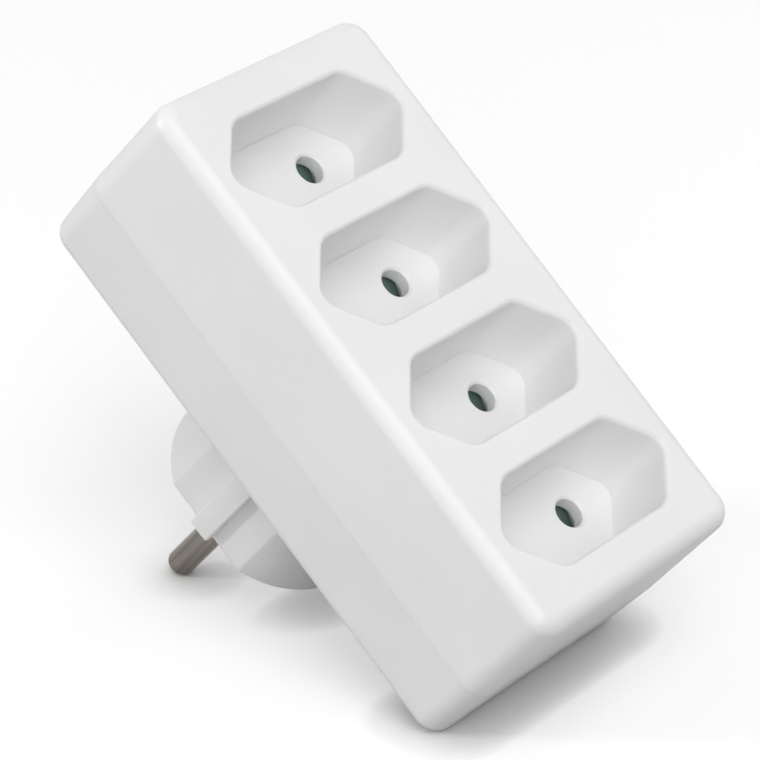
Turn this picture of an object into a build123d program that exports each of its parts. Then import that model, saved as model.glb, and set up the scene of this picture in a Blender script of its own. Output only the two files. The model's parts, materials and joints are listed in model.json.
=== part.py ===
import os
from math import radians, tan

from build123d import *

# Adapter that turns one wall socket into a row of sockets for flat two-pin plugs.
# Two moulded shells hold brass contact strips and sprung shutters, and a round plug stands on the back.
# Millimetres. X runs across the sockets, Z up along their row, and Y from the socket face to the wall.
# The origin is the middle of the plug's face, between its two pins.

# Plug standard: round pins on a fixed spacing
pin_spacing = 19.0
pin_dia = 4.8
pin_length = 19.0
pin_tip_round = 1.4

# Plug wells: long hexagons with drafted walls, sizes at the rim
socket_count = 4
well_length = 42.9
well_flat = 26.6
well_width = 17.0
well_depth = 15.0
well_draft = 2.0
well_corner = 4.4
well_tip = 2.9
well_rim_round = 0.85
well_wall = 1.8
well_floor = 2.0
hole_dia = 5.2
hole_mouth_bevel = 0.4
hole_boss_dia = 8.6
hole_boss_height = 0.8

# Housing: sizes at the parting line, where both shells are widest
land_between_wells = 6.4
face_land = 0.1
end_room = 0.65
front_skirt = 5.25
front_draft = 0.8
rear_draft = 1.8
corner_round = 4.4
front_round = 3.0
rear_round = 2.5
wall = 2.2
parting_bevel = 0.12
bevel_angle = 45.0
pin_end_room = 1.2
tongue_height = 1.5
tongue_thickness = 1.0
tongue_side_gap = 0.1
tongue_end_gap = 0.2

# Plug body: a round stem with two flats, each with a key rib
plug_dia = 38.2
plug_across_flats = 33.8
plug_flat_round = 1.5
plug_rib_width = 4.3
plug_rib_short = 0.8
plug_rib_round = 0.35
plug_length = 21.6
plug_wall = 2.4
plug_end_round = 1.2
pin_boss_dia = 9.0
pin_shank_dia = 4.0
pin_fit = 0.03

# Shutters: ramped plates that the plug's pins push aside
shutter_cover = 0.6
shutter_end_cover = 1.0
shutter_ramp = 22.0
shutter_back = 0.8
shutter_gap = 0.2
shutter_round = 0.3
shutter_rest_gap = 0.1
pass_gap = 0.4
rail_thickness = 1.2
spring_leaf = 0.25
spring_folds = 4
spring_width = 16.0
spring_depth = 2.2
spring_turn_straight = 0.3
spring_spare = 1.6
spring_end_gap = 0.02

# Plate behind the shutters
retainer_thickness = 1.5
retainer_border = 0.6
retainer_corner = 1.5
retainer_window_gap = 0.5
retainer_screw_dia = 2.0
retainer_screw_boss_dia = 4.4
retainer_screw_length = 5.0
retainer_screw_head_dia = 3.8
retainer_screw_head_height = 1.3

# Contact strips: pierced brass with a folded pair of leaves at each socket
strip_thickness = 0.8
strip_lift = 3.0
strip_overhang = 4.5
strip_hole_gap = 0.4
leaf_width = 6.0
leaf_grip = 3.4
leaf_flare = 5.2
leaf_lip = 1.8
leaf_bend = 0.9
leaf_clear = 0.3
strip_post_dia = 5.0
strip_peg_dia = 2.0
strip_peg_gap = 0.1
rivet_dia = 3.0
rivet_head_dia = 5.6
rivet_head_height = 0.8
rivet_gap = 0.02

# Screws that close the shells from behind
screw_dia = 3.0
screw_bite = 4.5
screw_head_dia = 5.4
screw_head_height = 2.0
screw_sink = 7.5
screw_boss_dia = 7.0
screw_head_gap = 0.5
screw_slack = 0.2
screw_bite_gap = 0.02
screw_side_inset = 6.7
screw_end_inset = 6.8
screw_tip_room = 0.6
drive_width = 0.9
drive_depth = 1.0

# Depths along Y, from the socket face to the plug's face
body_depth = well_depth + pin_length + pin_end_room + wall
front_y = -(body_depth + plug_length)
floor_y = front_y + well_depth
floor_back_y = floor_y + well_floor
hole_end_y = floor_back_y + hole_boss_height
parting_y = floor_back_y + front_skirt
rear_y = front_y + body_depth
rear_inner_y = rear_y - wall

# Plan sizes of the housing and places of the sockets
socket_pitch = well_width + land_between_wells
front_draw = (parting_y - front_y) * tan(radians(front_draft))
body_width = well_length + 2 * (well_rim_round + face_land + front_round + front_draw)
socket_zs = [((socket_count - 1) / 2 - i) * socket_pitch for i in range(socket_count)]
pin_xs = [-pin_spacing / 2, pin_spacing / 2]

# Shutter stack behind each well
shutter_half = hole_dia / 2 + shutter_cover
shutter_length = pin_spacing + hole_dia + 2 * shutter_end_cover
shutter_travel = shutter_half + pin_dia / 2 + pass_gap
shutter_top_y = hole_end_y + shutter_gap
shutter_back_y = shutter_top_y + 2 * shutter_half * tan(radians(shutter_ramp)) + shutter_back
retainer_y = shutter_back_y + shutter_gap
retainer_back_y = retainer_y + retainer_thickness
spring_length = shutter_travel + (spring_folds + 1) * spring_leaf + spring_spare
spring_step = (spring_length - 2 * spring_end_gap - spring_leaf) / spring_folds
spring_bend = (spring_step - spring_turn_straight) / 2
spring_y = (shutter_top_y + shutter_back_y) / 2
guide_low = shutter_half + shutter_rest_gap
guide_high = shutter_half + spring_length
guide_half_x = shutter_length / 2 + shutter_gap
retainer_low = socket_zs[-1] - guide_low - rail_thickness - retainer_border
retainer_high = socket_zs[0] + guide_high + rail_thickness + retainer_border
body_length = 2 * (retainer_high + end_room + wall)

# Contact strips and pins
strip_back_y = rear_inner_y - strip_lift
strip_front_y = strip_back_y - strip_thickness
strip_mid_y = strip_back_y - strip_thickness / 2
strip_hole_dia = pin_dia + 2 * strip_hole_gap
leaf_root = strip_hole_dia / 2 + strip_thickness
leaf_tip_y = retainer_back_y + leaf_clear + strip_thickness / 2
post_zs = [(socket_zs[0] + socket_zs[1]) / 2, (socket_zs[-2] + socket_zs[-1]) / 2]

# Screws
screw_x = body_width / 2 - screw_side_inset
screw_z = body_length / 2 - screw_end_inset
screw_places = [(x, z) for z in (screw_z, -screw_z) for x in (-screw_x, screw_x)]
screw_seat_y = rear_y - screw_sink
screw_length = screw_seat_y - parting_y + screw_bite
retainer_screw_zs = [
    (z + guide_high + z + socket_pitch - guide_low) / 2 for z in socket_zs[1:]
]


def at_y(y):
    # Drawing plane across Y: its own x is X and its own y is Z.
    return Plane(origin=(0, y, 0), x_dir=(1, 0, 0), z_dir=(0, -1, 0))


def slab(sketch, y0, y1):
    return extrude(at_y(y0) * sketch, amount=y1 - y0, dir=(0, 1, 0))


def drafted(outline, y0, y1, draft):
    # Block that starts as an outline at one depth and draws in by a draft on its way to another.
    onwards = Plane(origin=(0, y0, 0), x_dir=(1, 0, 0), z_dir=(0, y1 - y0, 0))
    return onwards * extrude(outline, amount=abs(y1 - y0), taper=draft)


def post(dia, x, z, y0, y1):
    return slab(Pos(x, z) * Circle(dia / 2), y0, y1)


def body_outline(inset=0.0):
    # Plan of the housing at the parting line.
    return RectangleRounded(body_width - 2 * inset, body_length - 2 * inset, corner_round - inset)


def hexagon_block(y0, y1, grow=0.0):
    # Drafted block in the form of a well, grown for its wall. Its two tips are rounded less than its sides.
    half_flat, half_length, half_width = well_flat / 2, well_length / 2, well_width / 2
    corners = [
        (-half_length, 0), (-half_flat, -half_width), (half_flat, -half_width),
        (half_length, 0), (half_flat, half_width), (-half_flat, half_width),
    ]
    rim = offset(Polygon(*corners, align=None), amount=grow, kind=Kind.INTERSECTION)
    block = drafted(rim, y0, y1, well_draft)
    for corner, at_tip in ((well_corner, False), (well_tip, True)):
        slanted = block.edges().filter_by_position(Axis.Y, *sorted((y0, y1)), inclusive=(False, False))
        turns = [e for e in slanted if (abs(e.center().X) > (half_flat + half_length) / 2) == at_tip]
        block = fillet(turns, corner + grow)
    return block


def well_space():
    # What is cut away for a well: its block, and the rounding of its rim onto the front face.
    lip = slab(Rectangle(body_width, socket_pitch), front_y - well_rim_round, front_y)
    space = lip + hexagon_block(front_y, floor_y)
    rim = space.edges().filter_by_position(Axis.Y, front_y, front_y)
    half_x, half_z = (well_length + well_rim_round) / 2, (well_width + well_rim_round) / 2
    rim = [e for e in rim if abs(e.center().X) < half_x and abs(e.center().Z) < half_z]
    return fillet(rim, well_rim_round)


def shutter_guide(z):
    # Open frame behind a well floor, with a stop below the shutter and a seat above its spring.
    outer_x = guide_half_x + rail_thickness
    outer_low, outer_high = guide_low + rail_thickness, guide_high + rail_thickness
    outer = Rectangle(2 * outer_x, outer_low + outer_high)
    inner = Rectangle(2 * guide_half_x, guide_low + guide_high)
    middle = (guide_high - guide_low) / 2
    return slab(Pos(0, z + middle) * (outer - inner), floor_back_y, retainer_y)


def make_front_housing():
    block = drafted(body_outline(), parting_y, front_y, front_draft)
    block = fillet(block.edges().group_by(Axis.Y)[0], front_round)
    cavity = drafted(body_outline(wall), parting_y, front_y + wall, front_draft)
    rebate_inset = wall - tongue_thickness - tongue_side_gap
    rebate = slab(body_outline(rebate_inset), parting_y - tongue_height - tongue_end_gap, parting_y)
    shell = block - cavity - rebate

    cup = hexagon_block(front_y + wall / 2, floor_back_y, well_wall)
    well = well_space()
    for z in socket_zs:
        shell += Pos(0, 0, z) * cup
        shell += shutter_guide(z)
        for x in pin_xs:
            shell += post(hole_boss_dia, x, z, floor_y + well_floor / 2, hole_end_y)
    for z in retainer_screw_zs:
        shell += post(retainer_screw_boss_dia, 0, z, floor_y + well_floor / 2, retainer_y)
    for x, z in screw_places:
        shell += post(screw_boss_dia, x, z, front_y + wall / 2, parting_y)

    for z in socket_zs:
        shell -= Pos(0, 0, z) * well
        for x in pin_xs:
            shell -= post(hole_dia, x, z, floor_y - well_floor, hole_end_y)
    for z in retainer_screw_zs:
        hole_top = retainer_back_y - retainer_screw_length - screw_tip_room
        shell -= post(retainer_screw_dia + 2 * screw_bite_gap, 0, z, hole_top, retainer_y)
    for x, z in screw_places:
        hole_top = screw_seat_y - screw_length - screw_tip_room
        shell -= post(screw_dia + 2 * screw_bite_gap, x, z, hole_top, parting_y)

    mouths = shell.edges().filter_by(GeomType.CIRCLE).filter_by_position(Axis.Y, floor_y, floor_y)
    mouths = [e for e in mouths if e.radius < hole_boss_dia / 2 and e.is_closed]
    return chamfer(mouths, hole_mouth_bevel)


def plug_outline(inset=0.0):
    flats = Rectangle(plug_across_flats - 2 * inset, plug_dia)
    return Circle(plug_dia / 2 - inset) & flats


def make_rear_housing():
    bevel_y = parting_y + parting_bevel
    block = drafted(body_outline(), bevel_y, rear_y, rear_draft)
    block = fillet(block.edges().group_by(Axis.Y)[-1], rear_round)
    block += drafted(body_outline(), bevel_y, parting_y, bevel_angle)
    cavity = drafted(body_outline(wall), parting_y, rear_inner_y, rear_draft)

    stem = slab(plug_outline(), rear_inner_y, 0)
    stem = fillet(stem.edges().filter_by(Axis.Y), plug_flat_round)
    stem = fillet(stem.edges().group_by(Axis.Y)[-1], plug_end_round)
    rib_outline = Rectangle(plug_dia, plug_rib_width) & Circle(plug_dia / 2)
    ribs = slab(rib_outline, rear_inner_y, -plug_rib_short)
    ribs = fillet(ribs.edges().filter_by(Axis.Y) + ribs.edges().group_by(Axis.Y)[-1], plug_rib_round)
    hollow = slab(plug_outline(plug_wall), rear_inner_y, -plug_wall)
    shell = block + stem + ribs - cavity - hollow

    tongue_inset = wall - tongue_thickness
    tongue = body_outline(tongue_inset) - body_outline(wall)
    shell += slab(tongue, parting_y - tongue_height, bevel_y)
    for x in pin_xs:
        shell += post(pin_boss_dia, x, 0, strip_back_y, -plug_wall / 2)
        for z in post_zs:
            shell += post(strip_post_dia, x, z, strip_back_y, rear_inner_y + wall / 2)
            shell += post(strip_peg_dia, x, z, strip_front_y, rear_inner_y)
    for x, z in screw_places:
        shell += post(screw_boss_dia, x, z, parting_y, rear_inner_y + wall / 2)

    for x in pin_xs:
        shell -= post(pin_shank_dia + 2 * pin_fit, x, 0, strip_back_y, 0)
    for x, z in screw_places:
        shell -= post(screw_dia + 2 * screw_slack, x, z, parting_y, rear_y)
        shell -= post(screw_head_dia + 2 * screw_head_gap, x, z, screw_seat_y, rear_y)
    return shell


def make_plug_pin(x):
    # Turned pin: its free length seats on the plug's face, and a thinner shank ends in a rivet.
    pin = post(pin_dia, x, 0, 0, pin_length)
    pin = fillet(pin.edges().group_by(Axis.Y)[-1], pin_tip_round)
    pin += post(pin_shank_dia, x, 0, strip_back_y, 0)
    pin += post(rivet_dia, x, 0, strip_front_y, strip_back_y)
    pin += post(rivet_head_dia, x, 0, strip_front_y - rivet_head_height, strip_front_y)
    return pin


def make_contact_strip(x):
    # Flat strip with a folded pair of leaves at each socket, pinched to grip a pin, with flared lips.
    grip = (leaf_grip + strip_thickness) / 2
    flare = (leaf_flare + strip_thickness) / 2
    half = [(leaf_root, strip_mid_y), (grip, leaf_tip_y + leaf_lip), (flare, leaf_tip_y)]
    fold = FilletPolyline(*[(-px, py) for px, py in reversed(half)], *half, radius=leaf_bend)
    clip = extrude(trace(fold, strip_thickness), amount=leaf_width / 2, both=True)
    reach = socket_zs[0] + strip_overhang
    strip = slab(Rectangle(2 * leaf_root + strip_thickness, 2 * reach), strip_front_y, strip_back_y)
    for z in socket_zs:
        strip += Pos(0, 0, z) * clip
    for z in socket_zs:
        strip -= post(strip_hole_dia, 0, z, strip_front_y, strip_back_y)
    for z in post_zs:
        strip -= post(strip_peg_dia + 2 * strip_peg_gap, 0, z, strip_front_y, strip_back_y)
    strip -= post(rivet_dia + 2 * rivet_gap, 0, 0, strip_front_y, strip_back_y)
    return Pos(x, 0, 0) * strip


def make_shutter(z):
    # Plate with a ramp in front: a pin on each end pushes it up, and one pin alone only tilts it.
    low_y = shutter_back_y - shutter_back
    profile = Polygon(
        (shutter_top_y, shutter_half), (shutter_back_y, shutter_half),
        (shutter_back_y, -shutter_half), (low_y, -shutter_half), align=None,
    )
    plate = extrude(Plane.YZ * profile, amount=shutter_length / 2, both=True)
    plate = fillet(plate.edges().filter_by(Axis.Y), shutter_round)
    return Pos(0, 0, z) * plate


def make_shutter_spring(z):
    # Leaf folded to and fro, from the shutter's edge up to the seat in its guide.
    low = shutter_half + spring_end_gap + spring_leaf / 2
    half = (spring_width - spring_leaf) / 2
    turns = []
    for i in range(spring_folds + 1):
        side = half * (-1) ** i
        turns += [(-side, low + i * spring_step), (side, low + i * spring_step)]
    leaf = trace(FilletPolyline(*turns, radius=spring_bend), spring_leaf)
    return Pos(0, spring_y, z) * extrude(Plane.XZ * leaf, amount=spring_depth / 2, both=True)


def make_shutter_retainer():
    half_x = guide_half_x + rail_thickness + retainer_border
    middle, height = (retainer_low + retainer_high) / 2, retainer_high - retainer_low
    plate = Pos(0, middle) * RectangleRounded(2 * half_x, height, retainer_corner)
    for z in socket_zs:
        for x in pin_xs:
            plate -= Pos(x, z) * Circle(hole_dia / 2 + retainer_window_gap)
    for z in retainer_screw_zs:
        plate -= Pos(0, z) * Circle(retainer_screw_dia / 2 + screw_slack)
    return slab(plate, retainer_y, retainer_back_y)


def make_screw(x, z, seat_y, dia, length, head_dia, head_height):
    # Self-tapping screw with a flat round head and a cross recess.
    screw = post(dia, x, z, seat_y - length, seat_y) + post(head_dia, x, z, seat_y, seat_y + head_height)
    arm = head_dia - head_height
    cross = Rectangle(arm, drive_width) + Rectangle(drive_width, arm)
    return screw - slab(Pos(x, z) * cross, seat_y + head_height - drive_depth, seat_y + head_height)


nodes = {"front_housing": make_front_housing(), "rear_housing": make_rear_housing()}
nodes["shutter_retainer"] = make_shutter_retainer()
for side, pin_x in zip(("left", "right"), pin_xs):
    nodes[f"plug_pin_{side}"] = make_plug_pin(pin_x)
    nodes[f"contact_strip_{side}"] = make_contact_strip(pin_x)
for number, socket_z in enumerate(socket_zs, 1):
    nodes[f"shutter_{number}"] = make_shutter(socket_z)
    nodes[f"shutter_spring_{number}"] = make_shutter_spring(socket_z)
for number, (x, z) in enumerate(screw_places, 1):
    nodes[f"housing_screw_{number}"] = make_screw(
        x, z, screw_seat_y, screw_dia, screw_length, screw_head_dia, screw_head_height
    )
for number, z in enumerate(retainer_screw_zs, 1):
    nodes[f"retainer_screw_{number}"] = make_screw(
        0, z, retainer_back_y, retainer_screw_dia, retainer_screw_length,
        retainer_screw_head_dia, retainer_screw_head_height,
    )

os.makedirs("parts", exist_ok=True)
for name, solid in nodes.items():
    export_step(solid, f"parts/{name}.step")
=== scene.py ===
import json
import math

import bpy
from mathutils import Matrix, Quaternion, Vector


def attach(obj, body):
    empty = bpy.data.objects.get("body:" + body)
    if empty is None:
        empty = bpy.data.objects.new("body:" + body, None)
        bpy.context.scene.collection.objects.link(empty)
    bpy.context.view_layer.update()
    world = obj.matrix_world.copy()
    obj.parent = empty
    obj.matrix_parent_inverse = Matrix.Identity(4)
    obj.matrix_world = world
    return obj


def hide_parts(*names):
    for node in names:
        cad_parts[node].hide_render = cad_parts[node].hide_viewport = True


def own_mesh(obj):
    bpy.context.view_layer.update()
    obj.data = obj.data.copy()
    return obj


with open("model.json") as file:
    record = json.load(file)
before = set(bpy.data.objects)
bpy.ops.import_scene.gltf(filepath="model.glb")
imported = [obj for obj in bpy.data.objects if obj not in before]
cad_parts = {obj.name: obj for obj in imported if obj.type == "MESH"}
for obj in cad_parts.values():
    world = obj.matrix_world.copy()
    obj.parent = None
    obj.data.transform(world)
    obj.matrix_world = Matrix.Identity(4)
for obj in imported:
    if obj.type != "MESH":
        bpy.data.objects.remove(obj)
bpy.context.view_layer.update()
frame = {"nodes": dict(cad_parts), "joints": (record.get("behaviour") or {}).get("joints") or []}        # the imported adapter, in metres: X across the sockets, Z up their row, Y to the wall
bpy.context.scene.view_settings.view_transform = "Standard"
mm = 0.001
print("frame loaded,", len(frame["nodes"]), "nodes")


# small helpers

def toLinear(hexColour):
    channels = [int(hexColour[i:i + 2], 16) / 255 for i in (1, 3, 5)]
    linear = [c / 12.92 if c <= 0.04045 else ((c + 0.055) / 1.055) ** 2.4 for c in channels]
    return (*linear, 1.0)


def addNode(owner, kind, inputs=None, **settings):
    node = owner.node_tree.nodes.new(kind)
    for name, value in settings.items():
        setattr(node, name, value)
    for name, value in (inputs or {}).items():
        if isinstance(value, bpy.types.NodeSocket):
            owner.node_tree.links.new(value, node.inputs[name])
        else:
            node.inputs[name].default_value = value
    return node


def perMm(sizeMm):
    return 1 / (sizeMm * mm)        # texture scale on Object coordinates for a pattern of this size


def blank(owner):
    owner.use_nodes = True
    owner.node_tree.nodes.clear()
    return owner


def shownRays(owner):
    # 1 for a ray that shows a background: straight to the camera, in a reflection or through glass
    rays = addNode(owner, "ShaderNodeLightPath").outputs
    direct = addNode(owner, "ShaderNodeMath", {
        0: rays["Is Camera Ray"], 1: rays["Is Glossy Ray"],
    }, operation="MAXIMUM")
    shown = addNode(owner, "ShaderNodeMath", {
        0: direct.outputs[0], 1: rays["Is Transmission Ray"],
    }, operation="MAXIMUM")
    return shown.outputs[0]


def pickOnly(obj):
    bpy.ops.object.select_all(action="DESELECT")
    bpy.context.view_layer.objects.active = obj
    obj.select_set(True)


# materials

noiseMiddle = (0.35, 0.65)      # most values of a noise field lie between these


def noiseField(material, vector, scale, detail):
    return addNode(material, "ShaderNodeTexNoise", {"Vector": vector, "Scale": scale, "Detail": detail})


def spread(material, noise, low, high):
    # takes the middle of a noise field to a range of plain numbers
    return addNode(material, "ShaderNodeMapRange", {
        "Value": noise.outputs["Fac"], "From Min": noiseMiddle[0], "From Max": noiseMiddle[1],
        "To Min": low, "To Max": high,
    }).outputs["Result"]


def twoTones(material, noise, first, second):
    # takes the middle of a noise field from one colour to another
    ramp = addNode(material, "ShaderNodeValToRGB", {"Fac": noise.outputs["Fac"]})
    for stop, place, tone in zip(ramp.color_ramp.elements, noiseMiddle, (first, second)):
        stop.position = place
        stop.color = toLinear(tone)
    return ramp.outputs["Color"]


def mouldedPlastic(name, look):
    # Injection-moulded plastic: even colour, a soft sheen from the fine spark texture of the mould, a very
    # slight waviness where the walls have shrunk, and light that creeps under the skin and softens edges.
    material = blank(bpy.data.materials.new(name))
    place = addNode(material, "ShaderNodeTexCoord").outputs["Object"]
    flow = noiseField(material, place, perMm(look["flowMm"]), look["flowDetail"])
    peel = noiseField(material, place, perMm(look["peelMm"]), look["peelDetail"])
    spark = noiseField(material, place, perMm(look["sparkMm"]), look["sparkDetail"])
    wavy = addNode(material, "ShaderNodeBump", {
        "Height": peel.outputs["Fac"], "Strength": look["peelBump"], "Distance": look["peelDepthMm"] * mm,
    })
    grainy = addNode(material, "ShaderNodeBump", {
        "Height": spark.outputs["Fac"], "Strength": look["sparkBump"], "Distance": look["sparkDepthMm"] * mm,
        "Normal": wavy.outputs["Normal"],
    })
    surface = addNode(material, "ShaderNodeBsdfPrincipled", {
        "Base Color": twoTones(material, flow, *look["tones"]),
        "Roughness": spread(material, spark, *look["roughness"]),
        "IOR": look["ior"],
        "Subsurface Weight": look["depthShare"],
        "Subsurface Radius": look["depthOfColours"],
        "Subsurface Scale": look["depthMm"] * mm,
        "Normal": grainy.outputs["Normal"],
    })
    addNode(material, "ShaderNodeOutputMaterial", {"Surface": surface.outputs["BSDF"]})
    return material


def workedMetal(name, look):
    # Metal with the marks of its making: fine streaks the way it was drawn, rolled or turned,
    # and a faint clouding of the sheen on its plated or tarnished skin.
    material = blank(bpy.data.materials.new(name))
    place = addNode(material, "ShaderNodeTexCoord").outputs["Object"]
    stretch = [perMm(size) for size in look["grainMm"]]
    grain = addNode(material, "ShaderNodeVectorMath", {0: place, 1: stretch}, operation="MULTIPLY")
    lines = noiseField(material, grain.outputs["Vector"], look["stretchedScale"], look["lineDetail"])
    cloud = noiseField(material, place, perMm(look["cloudMm"]), look["cloudDetail"])
    ridged = addNode(material, "ShaderNodeBump", {
        "Height": lines.outputs["Fac"], "Strength": look["lineBump"], "Distance": look["lineDepthMm"] * mm,
    })
    surface = addNode(material, "ShaderNodeBsdfPrincipled", {
        "Base Color": twoTones(material, lines, *look["tones"]),
        "Metallic": 1.0,
        "Roughness": spread(material, cloud, *look["roughness"]),
        "Normal": ridged.outputs["Normal"],
    })
    addNode(material, "ShaderNodeOutputMaterial", {"Surface": surface.outputs["BSDF"]})
    return material


moulded = {
    "ior": 1.54, "roughness": (0.36, 0.46), "flowMm": 22, "flowDetail": 2.0,
    "peelMm": 3.5, "peelDetail": 1.0, "peelBump": 0.25, "peelDepthMm": 0.01,
    "sparkMm": 0.3, "sparkDetail": 2.0, "sparkBump": 0.12, "sparkDepthMm": 0.006,
    "depthShare": 0.4, "depthMm": 1.0, "depthOfColours": (1.0, 1.0, 1.0),
}
worked = {"stretchedScale": 1.0, "lineDetail": 2.0, "cloudDetail": 3.0}
materials = {
    "front_plastic": mouldedPlastic("whiteMouldedAbsFront", {**moulded, "tones": ("#f2f2f2", "#f5f5f5")}),
    "rear_plastic": mouldedPlastic("whiteMouldedAbsRear", {**moulded, "tones": ("#eeeeee", "#f1f1f1")}),
    "retainer_plastic": mouldedPlastic("naturalMouldedAcetal", {**moulded, "tones": ("#dcd8ca", "#e3dfd3")}),
    "shutter_plastic": mouldedPlastic("greenMouldedNylon", {**moulded, "tones": ("#60766d", "#698076")}),
    "pin_metal": workedMetal("drawnNickelPlatedBrass", {
        **worked, "tones": ("#6c6761", "#8b857d"), "roughness": (0.14, 0.22), "grainMm": (0.9, 25, 0.9),
        "lineBump": 0.12, "lineDepthMm": 0.01, "cloudMm": 4.0,
    }),
    "contact_brass": workedMetal("rolledBrassStrip", {
        **worked, "tones": ("#c2a055", "#cfae66"), "roughness": (0.25, 0.4), "grainMm": (0.1, 0.1, 6),
        "lineBump": 0.1, "lineDepthMm": 0.003, "cloudMm": 5.0,
    }),
    "spring_steel": workedMetal("rolledSpringSteel", {
        **worked, "tones": ("#85888c", "#94979b"), "roughness": (0.28, 0.4), "grainMm": (5, 0.1, 5),
        "lineBump": 0.08, "lineDepthMm": 0.002, "cloudMm": 3.0,
    }),
    "screw_steel": workedMetal("zincPlatedSteel", {
        **worked, "tones": ("#aeb3b7", "#bcc0c3"), "roughness": (0.25, 0.42), "grainMm": (4, 0.15, 4),
        "lineBump": 0.1, "lineDepthMm": 0.003, "cloudMm": 1.5,
    }),
}
print("materials made,", len(materials))


# pieces

def smoothPiece(name, node, body, slot, look):
    # own copy of a construction mesh: its triangles are merged and shaded as the smooth skin they follow
    piece = bpy.data.objects.new(name, frame["nodes"][node].data.copy())
    bpy.context.scene.collection.objects.link(piece)
    pickOnly(piece)
    bpy.ops.mesh.customdata_custom_splitnormals_clear()
    bpy.ops.object.mode_set(mode="EDIT")
    bpy.ops.mesh.select_all(action="SELECT")
    bpy.ops.mesh.remove_doubles(threshold=look["mergeMm"] * mm)
    bpy.ops.object.mode_set(mode="OBJECT")
    bpy.ops.object.shade_smooth_by_angle(angle=math.radians(look["creaseDeg"]))
    evened = piece.modifiers.new("evenedShading", "WEIGHTED_NORMAL")
    evened.keep_sharp = True
    bpy.ops.object.modifier_apply(modifier=evened.name)
    piece.data.materials.clear()
    piece.data.materials.append(materials[slot])
    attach(piece, body)
    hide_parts(node)
    return piece


shells = {"mergeMm": 0.001, "creaseDeg": 28}
smoothPiece("frontShell", "front_housing", "housing", "front_plastic", shells)
smoothPiece("rearShell", "rear_housing", "housing", "rear_plastic", shells)
smoothPiece("shutterRetainer", "shutter_retainer", "housing", "retainer_plastic", shells)
print("shells and retainer plate done")

metalwork = {"mergeMm": 0.001, "creaseDeg": 30}
for side in ("left", "right"):
    smoothPiece("plugPin" + side.title(), "plug_pin_" + side, "housing", "pin_metal", metalwork)
    smoothPiece("contactStrip" + side.title(), "contact_strip_" + side, "housing", "contact_brass", metalwork)
for node in sorted(frame["nodes"]):
    if node.startswith(("housing_screw", "retainer_screw")):
        kind, _, number = node.split("_")
        smoothPiece(kind + "Screw" + number, node, "housing", "screw_steel", metalwork)
print("pins, contact strips and screws done")

shutters = {"mergeMm": 0.001, "creaseDeg": 28, "spring": {"mergeMm": 0.001, "creaseDeg": 35}}
for joint in frame["joints"]:
    body = joint["child"]
    number = body.split("_")[1]
    smoothPiece("shutter" + number, body, body, "shutter_plastic", shutters)
    springNode = "shutter_spring_" + number
    spring = smoothPiece("shutterSpring" + number, springNode, "housing", "spring_steel", shutters["spring"])
    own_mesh(spring)
print("shutters and springs done")


# stage: the adapter leans on its pin tips and its lower rear edge

floorLook = {
    "sizeM": 3.0, "leanSteps": 40, "seenTone": "#e8e8e8", "bounceTone": "#a0a0a0",
    # glow strength, then the reach and steepness of the painted contact shadow that darkens the glow near the
    # part
    "glow": 0.33, "paintedShadowReachMm": 8, "paintedShadowPower": 3.0,
}
plainWhite = (1, 1, 1, 1)


def lowestAlong(up, nodes):
    return min(up.dot(v.co) for n in nodes for v in frame["nodes"][n].data.vertices)


def leanUp(angle):
    return Vector((0.0, -math.sin(angle), math.cos(angle)))


flatter, steeper = 0.0, math.pi / 2
for _ in range(floorLook["leanSteps"]):
    lean = (flatter + steeper) / 2
    pinsLow = lowestAlong(leanUp(lean), ["plug_pin_left", "plug_pin_right"])
    if pinsLow > lowestAlong(leanUp(lean), ["rear_housing"]):
        flatter = lean
    else:
        steeper = lean
floorUp = leanUp(lean)
floorPlace = floorUp * lowestAlong(floorUp, ["rear_housing"])

bpy.ops.object.select_all(action="DESELECT")
bpy.ops.mesh.primitive_plane_add(size=floorLook["sizeM"], location=floorPlace, rotation=(lean, 0, 0))
floor = bpy.context.active_object
floor.name = "floor"

# Pale paper floor: matt, white to the camera where nothing shades it, with a painted contact shadow (its glow
# darkened by ambient occlusion) where the part stands close over it, a plain grey for the light it throws
# back, and clear from below, so that the back can be seen.
paper = blank(bpy.data.materials.new("whitePaperFloor"))
bounce = addNode(paper, "ShaderNodeBsdfDiffuse", {"Color": toLinear(floorLook["bounceTone"])})
matt = addNode(paper, "ShaderNodeBsdfDiffuse", {"Color": toLinear(floorLook["seenTone"])})
# painted shadow: the floor's glow is darkened by ambient occlusion wherever the part stands close over it
paintedShadowOpenness = addNode(paper, "ShaderNodeAmbientOcclusion", {"Distance": floorLook["paintedShadowReachMm"] * mm})
paintedShadowFade = addNode(paper, "ShaderNodeMath", {
    0: paintedShadowOpenness.outputs["AO"], 1: floorLook["paintedShadowPower"],
}, operation="POWER")
glow = addNode(paper, "ShaderNodeMath", {0: paintedShadowFade.outputs[0], 1: floorLook["glow"]}, operation="MULTIPLY")
glowUnderPaintedShadow = addNode(paper, "ShaderNodeEmission", {"Color": plainWhite, "Strength": glow.outputs[0]})
white = addNode(paper, "ShaderNodeAddShader", {0: matt.outputs[0], 1: glowUnderPaintedShadow.outputs[0]})
above = addNode(paper, "ShaderNodeMixShader", {
    0: shownRays(paper), 1: bounce.outputs[0], 2: white.outputs[0],
})
clear = addNode(paper, "ShaderNodeBsdfTransparent")
below = addNode(paper, "ShaderNodeNewGeometry").outputs["Backfacing"]
oneSided = addNode(paper, "ShaderNodeMixShader", {0: below, 1: above.outputs[0], 2: clear.outputs[0]})
addNode(paper, "ShaderNodeOutputMaterial", {"Surface": oneSided.outputs[0]})
floor.data.materials.append(paper)
print("floor laid, lean", round(math.degrees(lean), 2), "degrees")


# light: an even white room, large soft panels in front, at the camera and to the right, and a smaller key
# light from the upper left, which draws the shadow of the plug's rib

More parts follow.
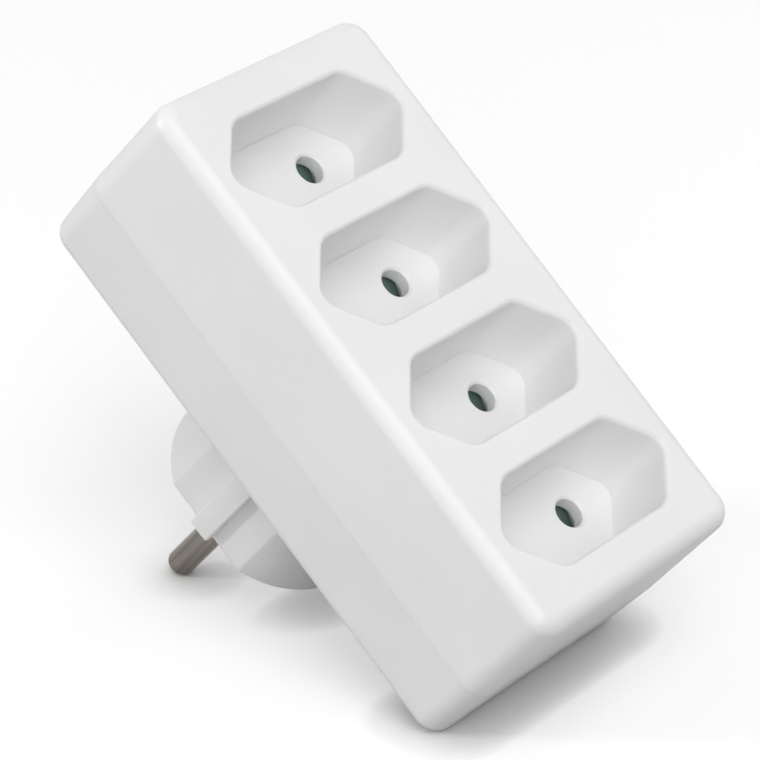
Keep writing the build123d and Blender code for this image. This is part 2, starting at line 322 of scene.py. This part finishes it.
roomLight = {"onPart": 0.4, "shown": 1.0}
world = blank(bpy.data.worlds.new("whiteRoom"))
bpy.context.scene.world = world
level = addNode(world, "ShaderNodeMapRange", {
    "Value": shownRays(world), "To Min": roomLight["onPart"], "To Max": roomLight["shown"],
})
sky = addNode(world, "ShaderNodeBackground", {"Color": plainWhite, "Strength": level.outputs["Result"]})
addNode(world, "ShaderNodeOutputWorld", {"Surface": sky.outputs[0]})

softPanels = {
    "frontPanel": {"fromDirection": (-0.3, -0.93, 0.2), "distanceM": 1.5, "sizeM": 1.0, "watts": 6.4},
    "cameraPanel": {"fromDirection": (-0.7, -0.7, -0.13), "distanceM": 1.5, "sizeM": 1.0, "watts": 5.1},
    "rightPanel": {"fromDirection": (0.75, -0.6, 0.2), "distanceM": 1.5, "sizeM": 1.0, "watts": 3.0},
    "leftKey": {"fromDirection": (-0.6, 0.1, 0.6), "distanceM": 1.5, "sizeM": 0.3, "watts": 5.6},
}
for name, look in softPanels.items():
    panelPlace = Vector(look["fromDirection"]).normalized() * look["distanceM"]
    bpy.ops.object.light_add(type="AREA", location=panelPlace)
    panel = bpy.context.active_object
    panel.name = name
    panel.data.shape = "DISK"
    panel.data.size = look["sizeM"]
    panel.data.energy = look["watts"]
    panel.rotation_euler = (-panelPlace).to_track_quat("-Z", "Y").to_euler()
print("lights placed,", len(softPanels), "panels")


# camera at the photograph's angle, fitted to the wells and the pin

shot = {
    "placeMm": (-461.54, -499.99, -85.2), "aimMm": (3.39, -33.55, 0.91), "rollDeg": -0.43,
    "lensMm": 193.56, "sensorMm": 36,
}
place, aim = Vector(shot["placeMm"]) * mm, Vector(shot["aimMm"]) * mm
ahead = (aim - place).normalized()
upright = (floorUp - floorUp.dot(ahead) * ahead).normalized()
upright = Quaternion(ahead, math.radians(shot["rollDeg"])) @ upright
across = ahead.cross(upright)
bpy.ops.object.camera_add()
camera = bpy.context.active_object
camera.name = "photoCamera"
camera.data.sensor_width = shot["sensorMm"]
camera.data.lens = shot["lensMm"]
camera.matrix_world = Matrix.Translation(place) @ Matrix((across, upright, -ahead)).transposed().to_4x4()
bpy.context.scene.camera = camera
print("camera set")
